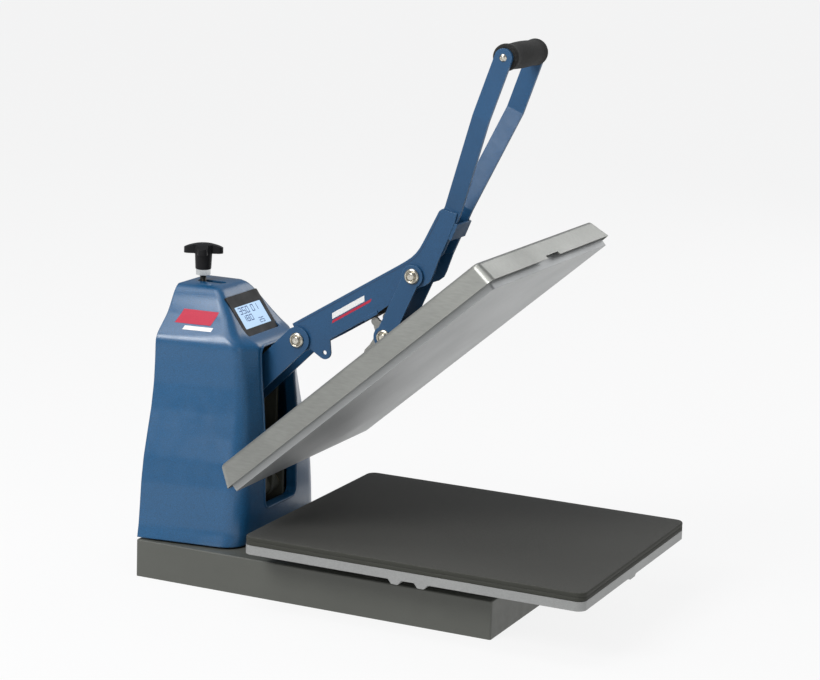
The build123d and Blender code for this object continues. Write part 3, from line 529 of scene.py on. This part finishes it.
def rounded_corner(a, b, c, radius, steps):
    """Arc that replaces the corner b between the runs a-b and b-c."""
    a, b, c = Vector(a), Vector(b), Vector(c)
    back, ahead = (a - b).normalized(), (c - b).normalized()
    half = back.angle(ahead) / 2
    reach = radius / math.tan(half)
    middle = b + (back + ahead).normalized() * (radius / math.sin(half))
    start, end = b + back * reach - middle, b + ahead * reach - middle
    turn = start.angle(end)
    arc = []
    for i in range(steps + 1):
        share = i / steps
        mix = start * math.sin((1 - share) * turn) + end * math.sin(share * turn)
        arc.append(middle + mix / math.sin(turn))
    return arc


def spread(a, b, count):
    """Points from a towards b, without b."""
    return [Vector(a).lerp(Vector(b), i / count) for i in range(count)]


def column_ring(z):
    """Section of the column at a height, from its left rear edge round the front to the right."""
    rear, corner, y_corner, nose, y_nose = smooth_plan(z)
    ends = [(-rear, COLUMN_REAR), (-corner, y_corner), (-nose, y_nose)]
    radius = min(max(6.0, 0.26 * corner), 0.85 * (Vector(ends[1]) - Vector(ends[2])).length)
    arc = rounded_corner(*ends, radius, 10)
    half = spread(ends[0], arc[0], 24) + arc[:-1] + spread(arc[-1], ends[2], 8)
    front = spread(ends[2], (nose, y_nose), 24)
    return half + front + [Vector((nose, y_nose))] + [Vector((-p[0], p[1])) for p in reversed(half)]


def display_place(u, v, out):
    """Point on the display's sloping plane: u to the right, v up the slope, out towards the operator."""
    c, s = math.cos(DISPLAY_SLOPE), math.sin(DISPLAY_SLOPE)
    return (u, DISPLAY_MID[0] + v * c - out * s, DISPLAY_MID[1] + v * s + out * c)


def column_shell():
    low, high = COLUMN_PLAN[0][0], COLUMN_PLAN[-1][0]
    rows = round((high - low) / COLUMN_STEP)
    heights = [low + (high - low) * i / rows for i in range(rows + 1)]
    rings = [column_ring(z) for z in heights]
    count = len(rings[0])
    points = [(p[0], p[1], z) for z, ring in zip(heights, rings) for p in ring]
    faces = ring_faces(len(rings), count, close=False)
    top = (len(rings) - 1) * count
    faces.append(tuple(range(top, top + count)))
    shell = mesh_object("column_shell", points, faces, MATERIALS["column_paint"], None)
    wall = shell.modifiers.new("wall", "SOLIDIFY")
    wall.thickness = COLUMN_WALL * MM
    wall.offset = -1.0
    middle = (MOUTH_LOW + MOUTH_HIGH) / 2
    half_z = (MOUTH_HIGH - MOUTH_LOW) / 2
    mouth = rounded_outline(MOUTH_HALF + MOUTH_RELIEF, half_z + MOUTH_RELIEF, MOUTH_CORNER + MOUTH_RELIEF)
    window = rounded_outline(DISPLAY_X / 2, DISPLAY_RUN / 2, 1.5, 3)
    x, y, wide, long = SCREW_SLOT
    slot = rounded_outline(wide / 2, long / 2, wide / 2 - 0.01)
    cut(shell, [
        prism("mouth_cutter", mouth, lambda u, v, end: (u, 90.0 + 110.0 * end, middle + v)),
        prism("window_cutter", window, lambda u, v, end: display_place(u, v, -9.0 + 16.0 * end)),
        prism("slot_cutter", slot, lambda u, v, end: (x + u, y + v, 400.0 + 20.0 * end)),
    ])
    tidy_mesh(shell, True, 42.0)
    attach(shell, "stand")
    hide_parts("column_cover")


def mouth_lip():
    """Rolled edge round the column's mouth, with a short collar behind it."""
    half_z = (MOUTH_HIGH - MOUTH_LOW) / 2
    middle = MOUTH_LOW + half_z
    path = rounded_outline(MOUTH_HALF, half_z, MOUTH_CORNER, 10)
    path = refine(path, 6.0)
    profile = [(3.6, 0.6), (3.0, -0.6), (1.9, -1.3), (0.8, -1.3), (0.1, -0.5), (0.0, 1.0), (0.0, 16.0),
               (3.4, 16.0), (3.4, 4.0)]
    points = []
    for grow, depth in profile:
        for u, v, nu, nv in path:
            z = middle + v + grow * nv
            front = smooth_plan(min(max(z, 59.0), 414.0))[4]
            points.append((u + grow * nu, front + depth, z))
    faces = tube_faces(len(profile), len(path))
    lip = mesh_object("mouth_lip", points, faces, MATERIALS["column_paint"], "stand")


# ---- soft pieces ----
PAD_CROWN = 0.5
PAD_CORNER = 13.0
PAD_SEAM = 0.45
RIPPLE = 0.12
LUMP = 0.012
BORE_SHARE = 0.7


def press_pad():
    """Silicone sponge pad: slightly crowned, with soft edges and a glued joint round its side."""
    low, high = (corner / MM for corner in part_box("platen_pad"))
    half_x, half_y = (high.x - low.x) / 2 - 0.6, (high.y - low.y) / 2 - 0.6
    mid_y, thick = (high.y + low.y) / 2, high.z - low.z
    top = high.z - PAD_CROWN
    seam = low.z + thick * PAD_SEAM
    sides = [(0.0, low.z + 0.02), (0.5, low.z + 0.4), (0.6, low.z + 2.0), (0.55, seam - 0.6), (-0.1, seam),
             (0.5, seam + 0.6), (0.6, top - 2.6), (0.35, top - 1.2), (-0.3, top - 0.35), (-1.4, top)]
    rings = []
    for grow, z in sides:
        rings.append([(p[0] + grow * p[2], p[1] + grow * p[3], z)
                      for p in refine(rounded_outline(half_x, half_y, PAD_CORNER, 8), 12.0)])
    inset_rows = 14
    for row in range(1, inset_rows + 1):
        share = row / inset_rows
        rings.append([((1 - share) * p[0], (1 - share) * p[1], top) for p in rings[len(sides) - 1]])
    count = len(rings[0])
    points = []
    for index, ring in enumerate(rings):
        for x, y, z in ring:
            if index >= len(sides) - 1:
                wave = 0.0
                across = (1 - (x / half_x) ** 4) * (1 - (y / half_y) ** 4)
                ripple = RIPPLE * noise.noise(Vector((x * 0.02, y * 0.02, 0.0)))
                z = top + (PAD_CROWN - 0.13) * max(0.0, across) + ripple * max(0.0, across)
            else:
                wave = RIPPLE * noise.noise(Vector((x * 0.03, y * 0.03, z * 0.2)))
            points.append((x + wave, y + mid_y + wave, z))
    faces = ring_faces(len(rings), count) + [tuple(range(count))[::-1]]
    pad = mesh_object("press_pad", points, faces, MATERIALS["pad_rubber"], None)
    weld(pad, 0.02)
    tidy_mesh(pad, True, 60.0)
    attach(pad, "stand")
    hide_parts("platen_pad")


def grip_sleeve():
    """Foam sleeve with rolled ends, a soft waist and the small lumps of cut foam."""
    low, high = (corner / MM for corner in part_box("grip_foam"))
    middle = (low + high) / 2
    half = (high.x - low.x) / 2
    radius = (high.z - low.z) / 2
    profile = [(-1.0, 0.33), (-1.0, 0.62), (-0.997, 0.80), (-0.985, 0.90), (-0.955, 0.965), (-0.91, 0.985),
               (-0.86, 0.975), (-0.80, 0.945), (-0.72, 0.925), (-0.62, 0.92), (-0.5, 0.93), (-0.35, 0.95),
               (-0.18, 0.967), (0.0, 0.972), (0.18, 0.967), (0.35, 0.95), (0.5, 0.932), (0.62, 0.92),
               (0.72, 0.925), (0.80, 0.945), (0.86, 0.975), (0.91, 0.985), (0.955, 0.965), (0.985, 0.90),
               (0.997, 0.80), (1.0, 0.62), (1.0, 0.33)]
    segments = 56
    points = []
    for along, share in profile:
        for i in range(segments):
            angle = 2 * math.pi * i / segments
            lump = LUMP * noise.noise(Vector((along * 6, 3 * math.cos(angle), 3 * math.sin(angle))))
            lump = lump if share > BORE_SHARE else 0.0
            r = radius * (share + lump)
            points.append((middle.x + half * along, middle.y + r * math.cos(angle),
                           middle.z + r * math.sin(angle)))
    faces = tube_faces(len(profile), segments)
    sleeve = mesh_object("grip_sleeve", points, faces, MATERIALS["foam"], None)
    round_off = sleeve.modifiers.new("round", "SUBSURF")
    round_off.levels = 2
    bpy.context.view_layer.update()
    bake_modifiers(sleeve)
    tidy_mesh(sleeve, True, 180.0)
    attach(sleeve, "lever")
    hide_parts("grip_foam")


# ---- turned and threaded pieces ----
CAP_THICK = 3.6
PIN_R = 6.5
CAP_PROFILE = [(0.0, 11.2), (1.0, 11.2), (1.9, 10.9), (2.7, 10.2), (3.2, 9.3), (3.3, 8.7), (3.1, 8.1),
               (2.5, 7.7), (1.7, 7.5), (1.4, 7.2), (1.4, 6.55), (0.0, 6.55)]
STUD_INNER = 25.7
PIN_PROFILE = [(6.5, 3.4), (6.4, 2.6), (6.1, 2.2), (5.4, 1.2), (5.2, 0.5), (4.8, 0.15), (4.2, 0.0),
               (0.8, 0.0), (0.5, 0.3), (0.05, 0.4)]


def pivot_caps(name, pin, node, body):
    """Domed push-on caps on both ends of a pivot pin, each with a raised ring round the pin."""
    y, z, _ = middle_of(pin)
    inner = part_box(node)[1].x / MM - CAP_THICK
    discs = [lathe(name + tag, CAP_PROFILE, (side * inner, y, z), side, MATERIALS["pin_nickel"], body)
             for side, tag in ((-1, "_l"), (1, "_r"))]
    caps = join(name, discs)
    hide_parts(node)


def pivot_pin(name, node, body, inner):
    """Pivot pin with a stepped, chamfered and centre-drilled end each side, from inner outwards."""
    y, z, high = middle_of(node)
    profile = [(inner, 0.05), (inner, PIN_R)] + [(high.x - back, radius) for radius, back in PIN_PROFILE]
    halves = [lathe(name + tag, profile, (0.0, y, z), side, MATERIALS["pin_nickel"], body)
              for side, tag in ((-1, "_l"), (1, "_r"))]
    pin = join(name, halves)
    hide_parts(node)


THREAD_PITCH = 1.5
THREAD_DEPTH = 0.8
THREAD_SIDES = 28
THREAD_ROWS = 6


def threaded_screw():
    """Pressure screw with a helical thread along its whole length and a chamfer at each end."""
    low, high = (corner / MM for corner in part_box("pressure_screw"))
    x, y = (low.x + high.x) / 2, (low.y + high.y) / 2
    radius, length = (high.x - low.x) / 2, high.z - low.z
    rows = round(length / THREAD_PITCH * THREAD_ROWS)
    points = []
    for row in range(rows + 1):
        z = low.z + length * row / rows
        end = min(z - low.z, high.z - z)
        for i in range(THREAD_SIDES):
            turn = (z / THREAD_PITCH - i / THREAD_SIDES) % 1.0
            groove = THREAD_DEPTH * (1 - abs(2 * turn - 1))
            r = min(radius - groove, radius - 1.2 + end)
            angle = 2 * math.pi * i / THREAD_SIDES
            points.append((x + r * math.cos(angle), y + r * math.sin(angle), z))
    faces = ring_faces(rows + 1, THREAD_SIDES)
    faces += [tuple(range(THREAD_SIDES))[::-1], tuple(range(rows * THREAD_SIDES, (rows + 1) * THREAD_SIDES))]
    screw = mesh_object("threaded_screw", points, faces, MATERIALS["dark_steel"], "screw")
    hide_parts("pressure_screw")


# ---- display ----
INK = flat_print("lcd_ink", (0.030, 0.075, 0.30))
SEGMENTS = {"0": "abcdef", "1": "bc", "2": "abged", "3": "abgcd", "5": "afgcd", "8": "abcdefg"}
STROKES = {"a": (0.5, 1.0, 1), "b": (1.0, 0.75, 0), "c": (1.0, 0.25, 0), "d": (0.5, 0.0, 1),
           "e": (0.0, 0.25, 0), "f": (0.0, 0.75, 0), "g": (0.5, 0.5, 1)}
DIGIT_ROWS = [("350", -30.0, 5.5, 6.4, 9.6), ("01", 6.0, 5.5, 6.4, 9.6), ("180", -30.0, -7.0, 6.4, 8.6),
              ("25", 10.0, -14.5, 5.0, 7.2)]
INK_OUT = 0.38


def stroke_box(points, faces, u, v, half_u, half_v):
    """Thin printed bar on the screen's face."""
    base = len(points)
    for out in (INK_OUT, INK_OUT + 0.1):
        for du, dv in ((-1, -1), (1, -1), (1, 1), (-1, 1)):
            points.append(display_place(u + du * half_u, v + dv * half_v, out))
    faces.append(tuple(base + i for i in (3, 2, 1, 0)))
    faces.append(tuple(base + i for i in (4, 5, 6, 7)))
    faces += [tuple(base + i for i in (a, (a + 1) % 4, (a + 1) % 4 + 4, a + 4)) for a in range(4)]


def screen_digits():
    """Plain numbers in three rows, drawn with seven-part digits."""
    points, faces = [], []
    for text, left, bottom, wide, tall in DIGIT_ROWS:
        pen = 0.10 * wide
        for index, figure in enumerate(text):
            u0, v0 = left + index * wide * 1.6, bottom + LCD_SHIFT
            for stroke in SEGMENTS[figure]:
                across, up, flat = STROKES[stroke]
                half_u = wide / 2 + pen if flat else pen
                half_v = pen if flat else tall / 4
                stroke_box(points, faces, u0 + across * wide, v0 + up * tall, half_u, half_v)
    mesh_object("screen_digits", points, faces, INK, "stand", smooth=False)


# ---- stripes in place of printed marks ----
RED = flat_print("stripe_red", (0.46, 0.012, 0.045))
WHITE = flat_print("stripe_white", (0.80, 0.80, 0.80))


def column_side_x(y, z):
    """Half width of the column's side at a Y and a height."""
    rear, corner, y_corner = smooth_plan(z)[:3]
    share = (COLUMN_REAR - y) / (COLUMN_REAR - y_corner)
    return rear + (corner - rear) * share


def column_stripe(name, material, y0, y1, z0, z1, lean):
    """Slanted film strip that lies on the column's left side."""
    columns, rows = 24, 8
    points = []
    for out in (0.15, 0.45):
        for row in range(rows + 1):
            z = z0 + (z1 - z0) * row / rows
            for column in range(columns + 1):
                y = y0 + (y1 - y0) * column / columns - lean * (z - z0)
                points.append((-column_side_x(y, z) - out, y, z))
    wide = columns + 1
    layer = (rows + 1) * wide
    faces = []
    for row in range(rows):
        for column in range(columns):
            a = row * wide + column
            faces.append((a, a + 1, a + wide + 1, a + wide))
            faces.append((layer + a + wide, layer + a + wide + 1, layer + a + 1, layer + a))
    border = list(range(wide)) + [r * wide + columns for r in range(1, rows + 1)]
    border += [rows * wide + c for c in range(columns - 1, -1, -1)]
    border += [r * wide for r in range(rows - 1, 0, -1)]
    for here, after in zip(border, border[1:] + border[:1]):
        faces.append((here, layer + here, layer + after, after))
    mesh_object(name, points, faces, material, "stand")


def side_plate(name, outline, x, thick, material, body, round_off=0.0):
    """Flat plate with a (Y, Z) outline, standing out from x towards -X."""
    count = len(outline)
    points = [(x, *p) for p in outline] + [(x - thick, *p) for p in outline]
    faces = ring_faces(2, count) + [tuple(range(count))[::-1], tuple(range(count, 2 * count))]
    plate = mesh_object(name, points, faces, material, body, smooth=False)
    if round_off:
        soften = plate.modifiers.new("round", "BEVEL")
        soften.width = round_off * MM
        soften.segments = 3
        bpy.context.view_layer.update()
        bake_modifiers(plate)
    return plate


LEVER_SIDE = -25.0
LEVER_EDGE = [(92.0, 378.2), (-66.1, 476.8), (-76.9, 483.9), (-84.4, 489.6), (-90.8, 496.0), (-96.6, 504.0),
              (-101.0, 512.0), (-122.0, 555.0)]


def ribbon(line, inner, outer):
    """Outline of a band between two distances inside a line of (Y, Z) points."""
    near, far = [], []
    for index, here in enumerate(line):
        before = line[max(0, index - 1)]
        after = line[min(len(line) - 1, index + 1)]
        run = math.dist(before, after)
        inward = ((before[1] - after[1]) / run, (after[0] - before[0]) / run)
        near.append((here[0] + inner * inward[0], here[1] + inner * inward[1]))
        far.append((here[0] + outer * inward[0], here[1] + outer * inward[1]))
    return near, far


# painted shadow: dark colour for the strip along the lever's fold, where only shade falls
FOLD_SHADOW_PAINT = paint("seam_dark", (0.010, 0.030, 0.070), 0.55, edge=0.0)


def lever_fold_shadow():
    """Painted shadow line of the fold along the lever's top edge: a dark strip on both sides."""
    near, far = ribbon(LEVER_EDGE, 3.3, 4.0)
    count = len(near)
    for side, tag in ((-1, "left"), (1, "right")):
        x = side * -LEVER_SIDE
        points = [(x + side * out, *p) for out in (0.0, 0.12) for line in (near, far) for p in line]
        faces = []
        for i in range(count - 1):
            a, b, c, d = i, count + i, 2 * count + i, 3 * count + i
            faces += [(a, a + 1, b + 1, b), (c, d, d + 1, c + 1), (a, c, c + 1, a + 1), (b, b + 1, d + 1, d)]
        last = count - 1
        faces += [(0, count, 3 * count, 2 * count), (last, 2 * count + last, 3 * count + last, count + last)]
        mesh_object("lever_seam_" + tag, points, faces, FOLD_SHADOW_PAINT, "lever", smooth=False)


def lever_marks():
    """Small lug on the lever's left side, and a plain two-colour stripe along it."""
    lug = [(-15.6, 390.2), (-12.5, 394.6), (-34.6, 408.5), (-35.7, 403.1)]
    side_plate("lever_lug", lug, LEVER_SIDE, 1.2, MATERIALS["lever_paint"], "lever", 0.4)
    run = Vector((-88.0 - 90.0, 463.5 - 351.0)).normalized()
    up = Vector((-run.y, run.x)) * -1.0
    start = Vector((90.0, 351.0)) + run * 62.0
    for name, material, low, high, begin, end in (
            ("lever_stripe_white", WHITE, 2.0, 9.5, 0.0, 62.0),
            ("lever_stripe_red", RED, -3.0, 0.4, -4.0, 70.0)):
        corners = [start + run * (begin + 3.0) + up * low, start + run * end + up * low,
                   start + run * (end + 4.0) + up * high, start + run * (begin + 7.0) + up * high]
        side_plate(name, [tuple(c) for c in corners], LEVER_SIDE, 0.15, material, "lever")


# ---- stage ----
CAMERA_AT = (-3.1354, -1.5148, 1.0963)
CAMERA_AZIMUTH = -1.14036
CAMERA_ELEVATION = 0.20858
CAMERA_ROLL = 0.035465
CAMERA_LENS = 109.34


def make_camera():
    data = bpy.data.cameras.new("camera")
    data.lens = CAMERA_LENS
    data.sensor_width = 36.0
    data.clip_start, data.clip_end = 0.05, 200.0
    camera = bpy.data.objects.new("camera", data)
    bpy.context.scene.collection.objects.link(camera)
    a, e = CAMERA_AZIMUTH, CAMERA_ELEVATION
    back = Vector((math.sin(a) * math.cos(e), -math.cos(a) * math.cos(e), math.sin(e)))
    right = (-back).cross(Vector((0, 0, 1))).normalized()
    up = right.cross(-back)
    tilted_right = right * math.cos(CAMERA_ROLL) + up * math.sin(CAMERA_ROLL)
    tilted_up = up * math.cos(CAMERA_ROLL) - right * math.sin(CAMERA_ROLL)
    turn = Matrix((tilted_right, tilted_up, back)).transposed()
    camera.matrix_world = Matrix.Translation(CAMERA_AT) @ turn.to_4x4()
    bpy.context.scene.camera = camera


def make_floor():
    points = [(40000 * math.cos(i * math.pi / 32), 40000 * math.sin(i * math.pi / 32), 0) for i in range(64)]
    floor = mesh_object("floor", points, [tuple(range(64))], None, None, smooth=False)
    material = bpy.data.materials.new("floor_white")
    material.use_nodes = True
    shader = material.node_tree.nodes["Principled BSDF"]
    shader.inputs["Base Color"].default_value = (0.10, 0.10, 0.10, 1.0)
    shader.inputs["Roughness"].default_value = 0.9
    shader.inputs["Specular IOR Level"].default_value = 0.1
    shader.inputs["Emission Color"].default_value = (1.0, 1.0, 1.0, 1.0)
    shader.inputs["Emission Strength"].default_value = 0.86
    floor.data.materials.append(material)


SOFT_BOXES = [
    ("key", (-2.6, 0.9, 2.3), (0.0, 0.0, 0.30), (1.5, 1.1), 66.0),
    ("top", (-0.7, 0.6, 2.9), (0.0, 0.0, 0.2), (1.9, 1.9), 36.0),
    ("fill", (-1.8, -3.0, 1.2), (0.0, 0.0, 0.35), (1.8, 1.6), 8.0),
    ("side", (3.1, -1.0, 1.8), (0.0, -0.2, 0.4), (2.2, 1.8), 24.0),
]


def soft_box(name, place, aim, size, power):
    data = bpy.data.lights.new(name, "AREA")
    data.shape = "RECTANGLE"
    data.size, data.size_y = size
    data.energy = power
    lamp = bpy.data.objects.new(name, data)
    lamp.location = place
    lamp.rotation_euler = (Vector(aim) - Vector(place)).to_track_quat("-Z", "Y").to_euler()
    bpy.context.scene.collection.objects.link(lamp)


def make_light():
    world = bpy.data.worlds.new("studio")
    world.use_nodes = True
    bpy.context.scene.world = world
    world.node_tree.nodes["Background"].inputs["Color"].default_value = (0.93, 0.95, 1.0, 1.0)
    world.node_tree.nodes["Background"].inputs["Strength"].default_value = 0.30
    for name, place, aim, size, power in SOFT_BOXES:
        soft_box(name, place, aim, size, power)


bpy.context.scene.view_settings.view_transform = "Standard"
make_camera()
make_floor()
make_light()
dress_cad_nodes()
column_shell()
mouth_lip()
press_pad()
grip_sleeve()
pivot_pin("fulcrum_turned", "fulcrum_studs", "stand", STUD_INNER)
pivot_pin("knee_turned", "knee_pin", "link", 0.0)
pivot_pin("toggle_turned", "toggle_pin", "platen", 0.0)
pivot_caps("fulcrum_domes", "fulcrum_studs", "fulcrum_caps", "stand")
pivot_caps("knee_domes", "knee_pin", "knee_caps", "link")
pivot_caps("toggle_domes", "toggle_pin", "toggle_pin_caps", "platen")
threaded_screw()
screen_digits()
column_stripe("column_stripe_red", RED, 206.0, 262.0, 366.0, 384.0, 0.35)
column_stripe("column_stripe_white", WHITE, 202.0, 246.0, 358.5, 363.5, 0.35)
lever_fold_shadow()
lever_marks()
